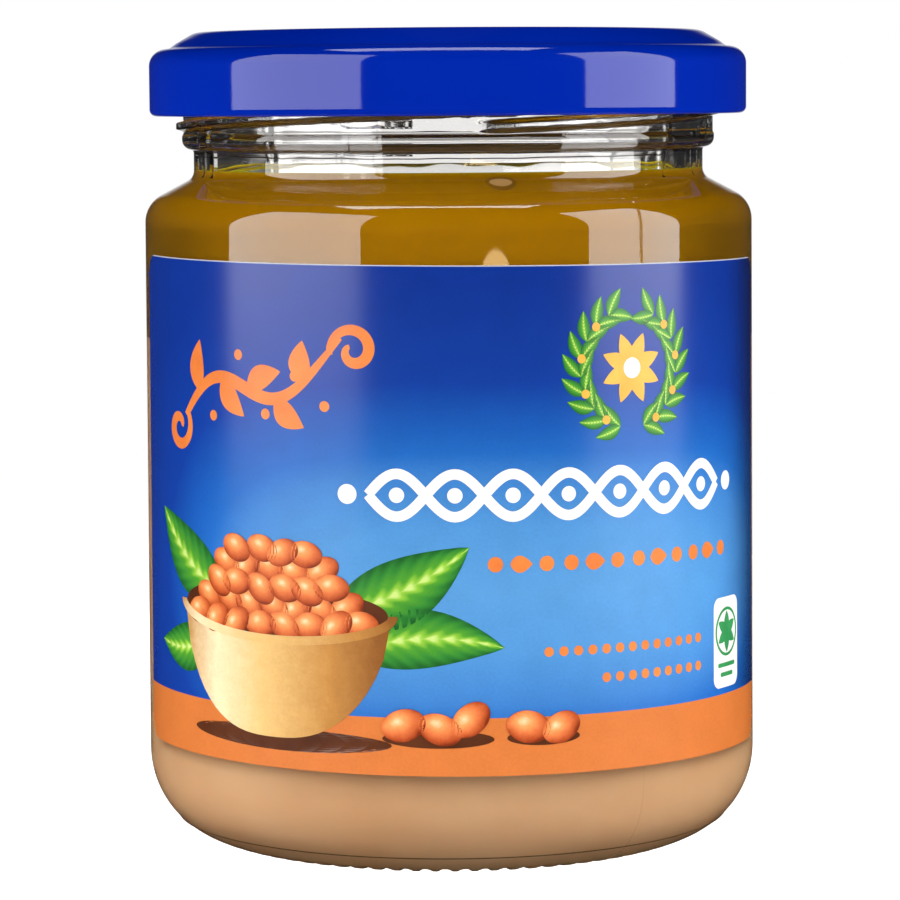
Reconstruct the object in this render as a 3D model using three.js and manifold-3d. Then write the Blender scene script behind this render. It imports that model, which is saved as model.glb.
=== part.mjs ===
// Peanut butter jar: a round glass jar, a twist-off lid, a front paper label and two settled layers inside.
// Millimetres, +Z up, the label faces -Y. The origin is the middle of the base.
import * as THREE from 'three';
import { mergeVertices } from 'three/addons/utils/BufferGeometryUtils.js';
import Module from 'manifold-3d';

const wasm = await Module();
wasm.setup();

const SEGMENTS = 48;
const CLEARANCE = 0.3;

// Glass body, outside
const BODY_RADIUS = 35.78;
const BODY_RADIUS_TOP = 35.6;
const BEARING_RADIUS = 26.2;
const BEARING_WIDTH = 2.4;
const HEEL_HEIGHT = 10.35;
const PUSH_UP = 2.2;
const PUSH_UP_MIDDLE_RADIUS = 12;
const PUSH_UP_MIDDLE_DROP = 0.35;
const PUSH_UP_EDGE_RADIUS = 19.5;
const PUSH_UP_EDGE_DROP = 1.1;
const SHOULDER_Z = 72.3;
const SHOULDER_ROUND = 3.65;
const SHOULDER_SLOPE = THREE.MathUtils.degToRad(28);
const NECK_RADIUS = 29.86;
const NECK_FILLET = 1.3;

// Glass finish, the part that the lid grips
const BEAD_RADIUS = 31.2;
const BEAD_FOOT_Z = 80.7;
const BEAD_ROUND = 1.2;
const BEAD_TOP_Z = 82.3;
const FINISH_RADIUS = 31.05;
const RIM_Z = 92.3;
const RIM_ROUND = 1.5;
const MOUTH_RADIUS = 27.6;
const MOUTH_BEVEL = 0.9;
const MOUTH_DEPTH = 3;
const BEAD_SLOPE = 0.4;

// Thread: interrupted ribs that rise to the right, as a right-hand screw does
const THREAD_LEADS = 4;
const LEAD_STEP = (2 * Math.PI) / THREAD_LEADS;
const THREAD_START = THREE.MathUtils.degToRad(-84);
const THREAD_ARC = THREE.MathUtils.degToRad(125);
const THREAD_RUN_IN = THREE.MathUtils.degToRad(10);
const THREAD_FOOT_Z = 82.75;
const THREAD_RISE = 3.0;
const THREAD_HEIGHT = 1.2;
const THREAD_CREST = 0.7;
const THREAD_RADIUS = 32.4;
const THREAD_SUNK = 1;
const THREAD_RUN_OUT_SUNK = 0.2;

// Glass, inside
const WALL = 2.3;
const FLOOR_Z = 4.9;
const FLOOR_EDGE_Z = 3.7;
const FLOOR_RADIUS = 27.8;
const FLOOR_CROWN_RADIUS = 13;
const FLOOR_CROWN_DROP = 0.4;
const INNER_HEEL_Z = 9.4;
const INNER_SHOULDER_Z = 71.9;
const INNER_SHOULDER_ROUND = 3.0;
const INNER_NECK_RADIUS = 27.2;
const INNER_NECK_FILLET = 1.6;

// Contents
const OIL_FOOT_Z = 59;
const FILL_Z = 78;

// Lid of lacquered tinplate
const LID_RADIUS = 34.94;
const LID_FOOT_Z = 84.65;
const LID_SHEET = 0.3;
const CURL_ROUND = 0.8;
const CURL_TAIL = 0.4;
const LID_CORNER = 2.0;
const STEP_FOOT_RADIUS = 32.85;
const STEP_FOOT_Z = 92.45;
const STEP_TOP_RADIUS = 30.2;
const STEP_TOP_Z = 94.0;
const PANEL_RADIUS = 29.2;
const PANEL_SHOULDER = 0.5;
const PANEL_SHOULDER_DROP = 0.1;
const LID_TOP_Z = 94.34;
const BUTTON_RADIUS = 12.5;
const BUTTON_STEP = 1.2;
const BUTTON_DEPTH = 0.35;
const LUG_INNER_RADIUS = 31.75;
const LUG_ARC = THREE.MathUtils.degToRad(13);
const LUG_BEFORE_RIB_END = THREE.MathUtils.degToRad(15);
const LUG_Z = 84.75;
const LUG_THICKNESS = 0.6;

// Paper label, laid on the front and slightly askew
const LABEL_WIDTH = 96.4;
const LABEL_HEIGHT = 56.1;
const LABEL_CORNER = 2.6;
const LABEL_FOOT_Z = 12.38;
const LABEL_SHIFT = 0.9;
const LABEL_SKEW = -0.008;
const LABEL_GAP = 0.1;
const PAPER = 0.1;

/** Points of an ellipse's arc from angle a0 to a1, both ends included. */
function arc(cx, cy, rx, ry, a0, a1, steps) {
  return Array.from({ length: steps + 1 }, (_, i) => {
    const a = a0 + ((a1 - a0) * i) / steps;
    return new THREE.Vector2(cx + rx * Math.cos(a), cy + ry * Math.sin(a));
  });
}

const at = (r, z) => new THREE.Vector2(r, z);
const QUARTER = Math.PI / 2;

/** Fillet between a slope that climbs inwards and the upright neck wall above it. */
function neckFillet(radius, fillet, slopeR, slopeZ, steps) {
  const cornerZ = slopeZ + (slopeR - radius) * Math.tan(SHOULDER_SLOPE);
  const tangent = fillet * Math.tan((QUARTER - SHOULDER_SLOPE) / 2);
  return arc(radius + fillet, cornerZ + tangent, fillet, fillet, -QUARTER - SHOULDER_SLOPE, -Math.PI, steps);
}

/** Outer radius of the plain body at height z. */
function bodyRadius(z) {
  const share = (z - HEEL_HEIGHT) / (SHOULDER_Z - HEEL_HEIGHT);
  return THREE.MathUtils.lerp(BODY_RADIUS, BODY_RADIUS_TOP, share);
}

/** Welds shared vertices and drops the triangles that collapse on the axis. */
function weld(geometry) {
  geometry.deleteAttribute('normal');
  geometry.deleteAttribute('uv');
  const merged = mergeVertices(geometry, 1e-4);
  const kept = [];
  const index = merged.index.array;
  for (let i = 0; i < index.length; i += 3) {
    const [a, b, c] = index.slice(i, i + 3);
    if (a !== b && b !== c && c !== a) kept.push(a, b, c);
  }
  merged.setIndex(kept);
  return merged;
}

function toSolid(geometry) {
  const { position } = geometry.attributes;
  const mesh = new wasm.Mesh({
    numProp: 3,
    vertProperties: new Float32Array(position.array),
    triVerts: new Uint32Array(geometry.index.array),
  });
  return new wasm.Manifold(mesh);
}

function toGeometry(solid) {
  const mesh = solid.getMesh();
  const geometry = new THREE.BufferGeometry();
  geometry.setAttribute('position', new THREE.BufferAttribute(mesh.vertProperties, 3));
  geometry.setIndex(new THREE.BufferAttribute(mesh.triVerts, 1));
  return geometry;
}

/** Joins solids that touch into one closed geometry. */
function fuse(geometries) {
  return toGeometry(geometries.map(toSolid).reduce((whole, piece) => whole.add(piece)));
}

/** A profile of (radius, height) points turned about the jar's axis; it runs up the outside first. */
function turned(profile) {
  const geometry = new THREE.LatheGeometry(profile, SEGMENTS);
  geometry.rotateX(QUARTER);
  return weld(geometry);
}

/** A box bent round the jar: place turns the box's own 0 to 1 shares into angle, height and radius. */
function bentBox(segments, place) {
  const geometry = new THREE.BoxGeometry(1, 1, 1, segments, 1, 1);
  const { position } = geometry.attributes;
  for (let i = 0; i < position.count; i += 1) {
    const [x, y, z] = [position.getX(i), position.getY(i), position.getZ(i)].map((share) => share + 0.5);
    const { angle, height, radius } = place(x, y, z);
    position.setXYZ(i, radius * Math.sin(angle), -radius * Math.cos(angle), height);
  }
  return weld(geometry);
}

function glassProfile() {
  const heel = arc(BEARING_RADIUS, HEEL_HEIGHT, BODY_RADIUS - BEARING_RADIUS, HEEL_HEIGHT, -QUARTER, 0, 9);
  const round = SHOULDER_ROUND;
  const shoulder = arc(BODY_RADIUS_TOP - round, SHOULDER_Z, round, round, 0, QUARTER - SHOULDER_SLOPE, 5);
  const slope = shoulder.at(-1);
  const inner = innerWall(0);
  return [
    at(0, PUSH_UP),
    at(PUSH_UP_MIDDLE_RADIUS, PUSH_UP - PUSH_UP_MIDDLE_DROP),
    at(PUSH_UP_EDGE_RADIUS, PUSH_UP - PUSH_UP_EDGE_DROP),
    at(BEARING_RADIUS - BEARING_WIDTH, 0),
    ...heel,
    ...shoulder,
    ...neckFillet(NECK_RADIUS, NECK_FILLET, slope.x, slope.y, 4),
    at(NECK_RADIUS, BEAD_FOOT_Z),
    ...arc(BEAD_RADIUS - BEAD_ROUND, BEAD_FOOT_Z + BEAD_ROUND, BEAD_ROUND, BEAD_ROUND, -QUARTER, 0, 4),
    at(BEAD_RADIUS, BEAD_TOP_Z),
    at(FINISH_RADIUS, BEAD_TOP_Z + BEAD_SLOPE),
    ...arc(FINISH_RADIUS - RIM_ROUND, RIM_Z - RIM_ROUND, RIM_ROUND, RIM_ROUND, 0, QUARTER, 4),
    at(MOUTH_RADIUS + MOUTH_BEVEL, RIM_Z),
    at(MOUTH_RADIUS, RIM_Z - MOUTH_BEVEL),
    at(MOUTH_RADIUS, RIM_Z - MOUTH_DEPTH),
    ...inner.reverse(),
  ];
}

/** The inside of the jar from the floor's middle up to the neck, drawn in by a clearance. */
function innerWall(inset) {
  const wallFoot = BODY_RADIUS - WALL - inset;
  const wallTop = BODY_RADIUS_TOP - WALL - inset;
  const round = INNER_SHOULDER_ROUND;
  const shoulder = arc(wallTop - round, INNER_SHOULDER_Z, round, round, 0, QUARTER - SHOULDER_SLOPE, 4);
  const slope = shoulder.at(-1);
  const floorEdge = FLOOR_EDGE_Z + inset;
  return [
    at(0, FLOOR_Z + inset),
    at(FLOOR_CROWN_RADIUS, FLOOR_Z + inset - FLOOR_CROWN_DROP),
    ...arc(FLOOR_RADIUS, INNER_HEEL_Z, wallFoot - FLOOR_RADIUS, INNER_HEEL_Z - floorEdge, -QUARTER, 0, 6),
    ...shoulder,
    ...neckFillet(INNER_NECK_RADIUS - inset, INNER_NECK_FILLET, slope.x, slope.y, 3),
  ];
}

/** The thread rib that starts at one angle, its foot sunk in the finish wall and both ends running out. */
function threadRib(start) {
  const sunk = FINISH_RADIUS - THREAD_SUNK;
  return bentBox(25, (x, y, z) => {
    const along = x * THREAD_ARC;
    const fade = Math.min(1, along / THREAD_RUN_IN, (THREAD_ARC - along) / THREAD_RUN_IN);
    const crest = THREE.MathUtils.lerp(FINISH_RADIUS - THREAD_RUN_OUT_SUNK, THREAD_RADIUS, fade);
    const height = z > 0.5 ? THREAD_CREST : THREAD_HEIGHT;
    const middle = THREAD_FOOT_Z + THREAD_HEIGHT / 2 + THREAD_RISE * x;
    return { angle: start + along, height: middle + (y - 0.5) * height, radius: z > 0.5 ? crest : sunk };
  });
}

function glassJar() {
  const ribs = Array.from({ length: THREAD_LEADS }, (_, i) => threadRib(THREAD_START + i * LEAD_STEP));
  return fuse([turned(glassProfile()), ...ribs]);
}

function peanutButter() {
  const below = innerWall(CLEARANCE).filter((p) => p.y < OIL_FOOT_Z);
  return turned([...below, at(bodyRadius(OIL_FOOT_Z) - WALL - CLEARANCE, OIL_FOOT_Z), at(0, OIL_FOOT_Z)]);
}

function peanutOil() {
  const foot = OIL_FOOT_Z + CLEARANCE;
  const above = innerWall(CLEARANCE).filter((p) => p.y > foot);
  const neck = at(INNER_NECK_RADIUS - CLEARANCE, FILL_Z);
  return turned([at(0, foot), at(bodyRadius(foot) - WALL - CLEARANCE, foot), ...above, neck, at(0, FILL_Z)]);
}

/** Lid section: up the outside of the skirt and over the panel, then back under at the sheet's thickness. */
function lidProfile() {
  const curlX = LID_RADIUS - CURL_ROUND;
  const curlZ = LID_FOOT_Z + CURL_ROUND;
  const cornerZ = STEP_FOOT_Z - LID_CORNER;
  const inside = LID_CORNER - LID_SHEET;
  return [
    ...arc(curlX, curlZ, CURL_ROUND, CURL_ROUND, -Math.PI, 0, 6),
    ...arc(LID_RADIUS - LID_CORNER, cornerZ, LID_CORNER, LID_CORNER, 0, QUARTER, 5),
    at(STEP_FOOT_RADIUS, STEP_FOOT_Z),
    at(STEP_TOP_RADIUS, STEP_TOP_Z),
    at(PANEL_RADIUS + PANEL_SHOULDER, LID_TOP_Z - PANEL_SHOULDER_DROP),
    at(PANEL_RADIUS, LID_TOP_Z),
    at(BUTTON_RADIUS + BUTTON_STEP, LID_TOP_Z),
    at(BUTTON_RADIUS, LID_TOP_Z - BUTTON_DEPTH),
    at(0, LID_TOP_Z - BUTTON_DEPTH),
    at(0, LID_TOP_Z - BUTTON_DEPTH - LID_SHEET),
    at(BUTTON_RADIUS, LID_TOP_Z - BUTTON_DEPTH - LID_SHEET),
    at(BUTTON_RADIUS + BUTTON_STEP, LID_TOP_Z - LID_SHEET),
    at(PANEL_RADIUS, LID_TOP_Z - LID_SHEET),
    at(STEP_TOP_RADIUS, STEP_TOP_Z - LID_SHEET),
    at(STEP_FOOT_RADIUS, STEP_FOOT_Z - LID_SHEET),
    ...arc(LID_RADIUS - LID_CORNER, cornerZ, inside, inside, QUARTER, 0, 3),
    at(LID_RADIUS - LID_SHEET, curlZ + CURL_ROUND + CURL_TAIL),
    at(curlX, curlZ + CURL_ROUND * 0.8),
    at(curlX - CURL_ROUND, curlZ),
  ];
}

/** A lug of the lid: the curl pressed inwards, so that it holds under a thread rib. */
function lidLug(middle) {
  const shape = new THREE.Shape();
  const outer = LID_RADIUS - CURL_ROUND;
  shape.absarc(0, 0, outer, middle - LUG_ARC / 2, middle + LUG_ARC / 2, false);
  shape.absarc(0, 0, LUG_INNER_RADIUS, middle + LUG_ARC / 2, middle - LUG_ARC / 2, true);
  shape.closePath();
  const sheet = { depth: LUG_THICKNESS, bevelEnabled: false, curveSegments: 3 };
  const geometry = new THREE.ExtrudeGeometry(shape, sheet);
  geometry.translate(0, 0, LUG_Z);
  return weld(geometry);
}

function lid() {
  const lugs = Array.from({ length: THREAD_LEADS }, (_, i) => {
    const underRib = THREAD_START + THREAD_ARC - LUG_BEFORE_RIB_END;
    return lidLug(underRib - QUARTER + i * LEAD_STEP);
  });
  return fuse([turned(lidProfile()), ...lugs]);
}

/** Places along the label, closer together where its corners turn. */
function labelStations() {
  const straight = LABEL_WIDTH / 2 - LABEL_CORNER;
  const turn = [0, 0.25, 0.5, 0.75, 1].map((s) => straight + LABEL_CORNER * Math.sin(s * QUARTER));
  const middle = Array.from({ length: 21 }, (_, i) => -straight + (2 * straight * (i + 1)) / 22);
  return [...turn.map((x) => -x).reverse(), ...middle, ...turn];
}

function label() {
  const stations = labelStations();
  const last = stations.length - 1;
  const straight = LABEL_WIDTH / 2 - LABEL_CORNER;
  return bentBox(last, (x, y, z) => {
    const along = stations[Math.round(x * last)];
    const past = Math.max(0, Math.abs(along) - straight);
    const cut = LABEL_CORNER - Math.sqrt(Math.max(0, LABEL_CORNER ** 2 - past ** 2));
    const half = LABEL_HEIGHT / 2 - cut;
    const height = LABEL_FOOT_Z + LABEL_HEIGHT / 2 + (y - 0.5) * 2 * half + LABEL_SKEW * along;
    const radius = bodyRadius(height) + LABEL_GAP + z * PAPER;
    return { angle: (along + LABEL_SHIFT) / BODY_RADIUS, height, radius };
  });
}

const material = (color, roughness, metalness, extra) => new THREE.MeshStandardMaterial({
  color, roughness, metalness, ...extra,
});
const glass = material('#dfe6e2', 0.05, 0, { transparent: true, opacity: 0.35 });
const lacquer = material('#0a27a0', 0.25, 0.2);
const butter = material('#cb9b66', 0.5, 0);
const oil = material('#9a6a0c', 0.15, 0);
const print = material('#2a57bd', 0.4, 0);

const pieces = [
  ['glass_jar', glassJar(), glass],
  ['lid', lid(), lacquer],
  ['peanut_butter', peanutButter(), butter],
  ['peanut_oil', peanutOil(), oil],
  ['label', label(), print],
];

const group = new THREE.Group();
for (const [name, geometry, finish] of pieces) {
  const mesh = new THREE.Mesh(geometry, finish);
  mesh.name = name;
  group.add(mesh);
}

export default group;
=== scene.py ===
# %% [markdown]
# # A jar of peanut butter
# A small round glass jar with a twist-off lid stands on a pale table. Inside, the peanut butter has settled
# and its oil has risen to the top; a paper label is glued to the front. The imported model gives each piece's
# real size and place, and this script adds smooth surfaces and finishes. Everything is in metres, with +Z
# up and the label towards -Y; most sizes are written in millimetres and turned to metres by one constant.

# %% Load the frame
import math
from functools import partial

import bpy
import numpy as np
from mathutils import Matrix, Vector


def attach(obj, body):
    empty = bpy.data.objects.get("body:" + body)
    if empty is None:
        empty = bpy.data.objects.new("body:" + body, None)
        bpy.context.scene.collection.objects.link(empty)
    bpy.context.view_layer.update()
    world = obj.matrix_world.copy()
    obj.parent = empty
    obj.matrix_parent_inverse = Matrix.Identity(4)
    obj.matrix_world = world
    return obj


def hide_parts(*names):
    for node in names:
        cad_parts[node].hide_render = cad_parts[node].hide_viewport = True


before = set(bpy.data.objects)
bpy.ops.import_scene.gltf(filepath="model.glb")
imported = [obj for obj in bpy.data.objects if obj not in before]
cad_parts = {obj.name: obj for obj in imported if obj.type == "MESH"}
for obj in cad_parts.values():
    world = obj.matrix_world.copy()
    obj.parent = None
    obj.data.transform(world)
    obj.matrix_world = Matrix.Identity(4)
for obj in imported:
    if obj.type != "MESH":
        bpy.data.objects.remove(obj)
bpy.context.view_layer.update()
MM = 0.001

# %% [markdown]
# ## The camera
# The photograph was taken with a long lens from a little above the jar's middle. A camera could be aimed by
# eye, but its distance, height and tilt were worked out from the ellipses that the label's edges draw,
# because a few tenths of a degree change those curves.

# %% The camera
CAMERA_PLACE = Vector((0, -446.3, 86.5)) * MM
CAMERA_TILT = math.radians(90 - 5.302)
CAMERA_ROLL = math.radians(-0.366)
LENS, SENSOR = 151.4, 36

camera_data = bpy.data.cameras.new("camera")
camera_data.lens = LENS
camera_data.sensor_width = SENSOR
camera_data.clip_start = 0.01
camera = bpy.data.objects.new("camera", camera_data)
bpy.context.scene.collection.objects.link(camera)
camera.matrix_world = (
    Matrix.Translation(CAMERA_PLACE)
    @ Matrix.Rotation(CAMERA_TILT, 4, "X")
    @ Matrix.Rotation(CAMERA_ROLL, 4, "Z")
)
bpy.context.scene.camera = camera
bpy.context.scene.view_settings.view_transform = "Standard"
print("camera angle of view:", round(math.degrees(camera_data.angle), 2), "degrees")

# %% [markdown]
# ## Helpers for meshes
# Turned pieces start as a circle primitive whose points are moved to the piece's section, and a spin about
# the upright axis sweeps it round. A Screw modifier would give the same form; the spin leaves a plain mesh
# at once, which can be shaped further, as where the thread rises out of the neck.

# %% Helpers for meshes
SMOOTH_ANGLE = math.radians(38)
SAME_POINT = 0.001 * MM


def pick(*pieces):
    """Selects these pieces alone, the first one active: an operator acts on all that is selected."""
    if bpy.context.object and bpy.context.object.mode != "OBJECT":
        bpy.ops.object.mode_set(mode="OBJECT")
    bpy.ops.object.select_all(action="DESELECT")
    for piece in pieces:
        piece.select_set(True)
    if pieces:
        bpy.context.view_layer.objects.active = pieces[0]


def points_of(piece):
    """The piece's points as rows of x, y, z in millimetres."""
    co = np.empty(len(piece.data.vertices) * 3)
    piece.data.vertices.foreach_get("co", co)
    return co.reshape(-1, 3) / MM


def set_points(piece, points):
    """Moves the piece's points to rows of x, y, z in millimetres."""
    piece.data.vertices.foreach_set("co", (points * MM).astype(np.float32).ravel())
    piece.data.update()


def arc(centre_r, centre_z, radius_r, radius_z, start, end, steps):
    """Points of an ellipse's arc, in degrees from the outward direction, both ends included."""
    angles = np.radians(np.linspace(start, end, steps + 1))
    return [(centre_r + radius_r * math.cos(a), centre_z + radius_z * math.sin(a)) for a in angles]


def upright(radius, low, high, step):
    """Points up a wall of one radius, a step apart."""
    return [(radius, z) for z in np.arange(low, high, step)]


def turned(name, section, turns):
    """A closed section of (radius, height) points in mm, spun round the jar's axis."""
    pick()
    bpy.ops.mesh.primitive_circle_add(vertices=len(section), radius=1)
    piece = bpy.context.object
    piece.name = piece.data.name = name
    set_points(piece, np.array([(r, 0, z) for r, z in section]))
    bpy.ops.object.mode_set(mode="EDIT")
    bpy.ops.mesh.select_all(action="SELECT")
    bpy.ops.mesh.spin(steps=turns, angle=2 * math.pi, center=(0, 0, 0), axis=(0, 0, 1))
    bpy.ops.mesh.select_all(action="SELECT")
    bpy.ops.mesh.remove_doubles(threshold=SAME_POINT)
    bpy.ops.mesh.dissolve_degenerate(threshold=SAME_POINT)
    bpy.ops.mesh.select_all(action="SELECT")
    bpy.ops.mesh.delete_loose()
    bpy.ops.mesh.select_all(action="SELECT")
    bpy.ops.mesh.normals_make_consistent(inside=False)
    bpy.ops.object.mode_set(mode="OBJECT")
    bpy.ops.object.shade_smooth_by_angle(angle=SMOOTH_ANGLE)
    return piece


def smooth(t):
    """A soft step from 0 to 1."""
    t = np.clip(t, 0, 1)
    return t * t * (3 - 2 * t)


# %% [markdown]
# ## Helpers for materials
# Every finish is a Principled shader with a few nodes. One function adds a node, named by its type without
# ShaderNode: its sockets are filled in order or by name, with values or with other nodes. Another turns
# sRGB hex into the linear values that the shader works in. No real surface is of one even colour, so most
# tones drift a little in soft patches of a real size.

# %% Helpers for materials
SOFT_STEP = {"interpolation_type": "SMOOTHSTEP"}


def colour(code):
    """An sRGB hex colour as linear red, green, blue and alpha."""
    parts = [int(code[i : i + 2], 16) / 255 for i in (1, 3, 5)]
    return [c / 12.92 if c <= 0.04045 else ((c + 0.055) / 1.055) ** 2.4 for c in parts] + [1.0]


def plug(node, inputs):
    """Fills a node's sockets with values, with other nodes' outputs, or with a node's first output."""
    for key, value in inputs.items() if isinstance(inputs, dict) else enumerate(inputs):
        if isinstance(value, bpy.types.Node):
            value = value.outputs[0]
        if isinstance(value, bpy.types.NodeSocket):
            node.id_data.links.new(value, node.inputs[key])
        else:
            node.inputs[key].default_value = value


def add_node(tree, kind, inputs=(), stops=(), **settings):
    """A node with its settings and links, and with the (place, hex) stops of a colour ramp."""
    made = tree.nodes.new("ShaderNode" + kind)
    for key, value in settings.items():
        setattr(made, key, value)
    plug(made, inputs)
    if stops:
        elements = made.color_ramp.elements
        while len(elements) < len(stops):
            elements.new(0.5)
        for element, (place, code) in zip(elements, stops):
            element.position = place
            element.color = colour(code)
    return made


def new_material(name, uv=None, **sockets):
    """A material, a function that adds nodes to it, its shader, and a point's place on the jar, in metres,
    or on a UV map. The shader's sockets are given by name, with _ for spaces."""
    material = bpy.data.materials.new(name)
    material.use_nodes = True
    shader = material.node_tree.nodes["Principled BSDF"]
    plug(shader, {key.replace("_", " "): value for key, value in sockets.items()})
    add = partial(add_node, material.node_tree)
    place = add("UVMap", uv_map=uv).outputs["UV"] if uv else add("TexCoord").outputs["Object"]
    return material, add, shader, place


def drifting_tone(add, place, size, low, high, detail=2.0, spread=0.2):
    """A colour that drifts between two hex colours in soft patches of about a size."""
    clouds = add("TexNoise", {"Vector": place, "Scale": 1 / size, "Detail": detail})
    return add("ValToRGB", [clouds], [(0.5 - spread, low), (0.5 + spread, high)])


# %% [markdown]
# ## The glass jar
# The jar is pressed and blown soda-lime glass: a wall of a little over 2 mm, a thick round heel, a base
# pushed up so that it stands on a ring, and a neck with a bead and four ribs of thread. The section is
# drawn as one closed outline, outside and inside, so that light bends through a real wall. A Solidify
# modifier would be quicker, but blown glass has a different form inside than outside.

# %% Sizes of the glass
BODY_R, BODY_TOP_R = 35.78, 35.6
BEARING_R, HEEL_Z = 26.2, 10.35
SHOULDER_Z, SHOULDER_ROUND, SHOULDER_SLOPE = 72.3, 3.65, 28.0
NECK_R, NECK_FILLET, NECK_TOP_Z = 29.86, 1.3, 79.4
BEAD_R, BEAD_FOOT_Z, BEAD_ROUND, BEAD_TOP_Z = 31.2, 80.7, 1.2, 82.3
FINISH_R, FINISH_TOP_Z, RIM_Z, RIM_ROUND = 31.05, 87.5, 92.3, 1.5
MOUTH_R, MOUTH_FOOT_Z, MOUTH_TOP_Z = 27.6, 82.5, 90.0
WALL, FLOOR_Z, FLOOR_EDGE_Z, FLOOR_R, INNER_HEEL_Z = 2.3, 4.9, 3.7, 27.8, 9.4
INNER_SHOULDER_Z, INNER_SHOULDER_ROUND = 71.9, 3.0
INNER_NECK_R, INNER_NECK_FILLET = 27.2, 1.6
PUSH_UP, SEAM_ANGLE, SEAM_OUT = 2.2, -49.0, 0.09
TURNS, THREAD_STEP, MOUTH_STEP = 320, 0.16, 0.75
# The pushed-up base and the floor fall away from their middle: (radius, drop). The jar stands on the ring.
BASE_DROPS = ((0, 0), (6, 0.1), (12, 0.4), (17, 0.85), (21, 1.5))
FLOOR_DROPS = ((0, 0), (8, 0.15), (16, 0.7))
RING = ((22.9, 0.35), (23.7, 0.0), (24.3, 0.0), (24.9, 0.0), (25.5, 0.0))
# Extra points near the ends of a straight wall keep its shading upright, so that it mirrors as a wall does.
HOLD = 0.6


def heel_arc(start, end, steps, out=0.0):
    """Part of the round heel, in degrees from the outward direction; the seam stands out a little."""
    return arc(BEARING_R, HEEL_Z, BODY_R - BEARING_R + out, HEEL_Z + out, start, end, steps)


def neck_fillet(radius, fillet, slope_r, slope_z, steps):
    """The round between the shoulder's slope and the upright neck."""
    lean = math.radians(SHOULDER_SLOPE)
    corner_z = slope_z + (slope_r - radius) * math.tan(lean)
    tangent = fillet * math.tan((math.pi / 2 - lean) / 2)
    return arc(radius + fillet, corner_z + tangent, fillet, fillet, -90 - SHOULDER_SLOPE, -180, steps)


def body_radius(z):
    """Outer radius of the plain body at a height."""
    return BODY_R + (BODY_TOP_R - BODY_R) * (z - HEEL_Z) / (SHOULDER_Z - HEEL_Z)


def inner_wall(grow):
    """The jar's inside from the floor to the neck; grow moves it out into the glass."""
    foot_r, top_r = BODY_R - WALL + grow, BODY_TOP_R - WALL + grow
    heel_high = INNER_HEEL_Z - (FLOOR_EDGE_Z - grow)
    shoulder = arc(top_r - INNER_SHOULDER_ROUND, INNER_SHOULDER_Z, INNER_SHOULDER_ROUND,
                   INNER_SHOULDER_ROUND, 0, 90 - SHOULDER_SLOPE, 14)
    return [
        *[(r, FLOOR_Z - grow - drop) for r, drop in FLOOR_DROPS],
        *arc(FLOOR_R, INNER_HEEL_Z, foot_r - FLOOR_R, heel_high, -90, 0, 24),
        (foot_r, INNER_HEEL_Z + HOLD), (top_r, INNER_SHOULDER_Z - HOLD),
        *shoulder,
        *neck_fillet(INNER_NECK_R + grow, INNER_NECK_FILLET, *shoulder[-1], 8),
    ]


# %% Turning the glass
shoulder = arc(BODY_TOP_R - SHOULDER_ROUND, SHOULDER_Z, SHOULDER_ROUND, SHOULDER_ROUND,
               0, 90 - SHOULDER_SLOPE, 16)
glass_section = [
    *[(r, PUSH_UP - drop) for r, drop in BASE_DROPS], *RING,
    *heel_arc(-90, SEAM_ANGLE - 2.5, 13), *heel_arc(SEAM_ANGLE - 1.2, SEAM_ANGLE - 0.7, 1),
    *heel_arc(SEAM_ANGLE - 0.2, SEAM_ANGLE + 0.2, 1, SEAM_OUT),
    *heel_arc(SEAM_ANGLE + 0.7, SEAM_ANGLE + 1.2, 1), *heel_arc(SEAM_ANGLE + 2.5, 0, 16),
    *[(body_radius(z), z) for z in (HEEL_Z + HOLD, SHOULDER_Z - HOLD)],
    *shoulder,
    *neck_fillet(NECK_R, NECK_FILLET, *shoulder[-1], 8),
    (NECK_R, NECK_TOP_Z), (NECK_R, BEAD_FOOT_Z - 0.25),
    *arc(BEAD_R - BEAD_ROUND, BEAD_FOOT_Z + BEAD_ROUND, BEAD_ROUND, BEAD_ROUND, -90, 0, 8),
    (BEAD_R, BEAD_TOP_Z), (FINISH_R + 0.03, BEAD_TOP_Z + 0.25),
    *upright(FINISH_R, BEAD_TOP_Z + 0.4, FINISH_TOP_Z, THREAD_STEP),
    *arc(FINISH_R - RIM_ROUND, RIM_Z - RIM_ROUND, RIM_ROUND, RIM_ROUND, 0, 90, 8),
    (MOUTH_R + 0.9, RIM_Z), (MOUTH_R + 0.25, RIM_Z - 0.25), (MOUTH_R, RIM_Z - 0.9),
    *upright(MOUTH_R, MOUTH_FOOT_Z, MOUTH_TOP_Z, MOUTH_STEP)[::-1],
    (INNER_NECK_R + 0.2, MOUTH_FOOT_Z - 1.1), (INNER_NECK_R + 0.05, MOUTH_FOOT_Z - 2),
    (INNER_NECK_R, NECK_TOP_Z),
    *inner_wall(0)[::-1],
]
glass = turned("glass_jar_smooth", glass_section, TURNS)
print("glass points:", len(glass.data.vertices))

# %% [markdown]
# The thread is not a full screw but short ribs that rise to the right, so that the lid closes in a quarter
# turn. They could be swept pieces joined by a Boolean, but moving the wall's own points out keeps one clean
# surface. The inside of a blown neck is never quite round: slow waves and a few faint streaks break up what
# is seen through it. The base stands on fine bars that a mould leaves there.

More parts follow.
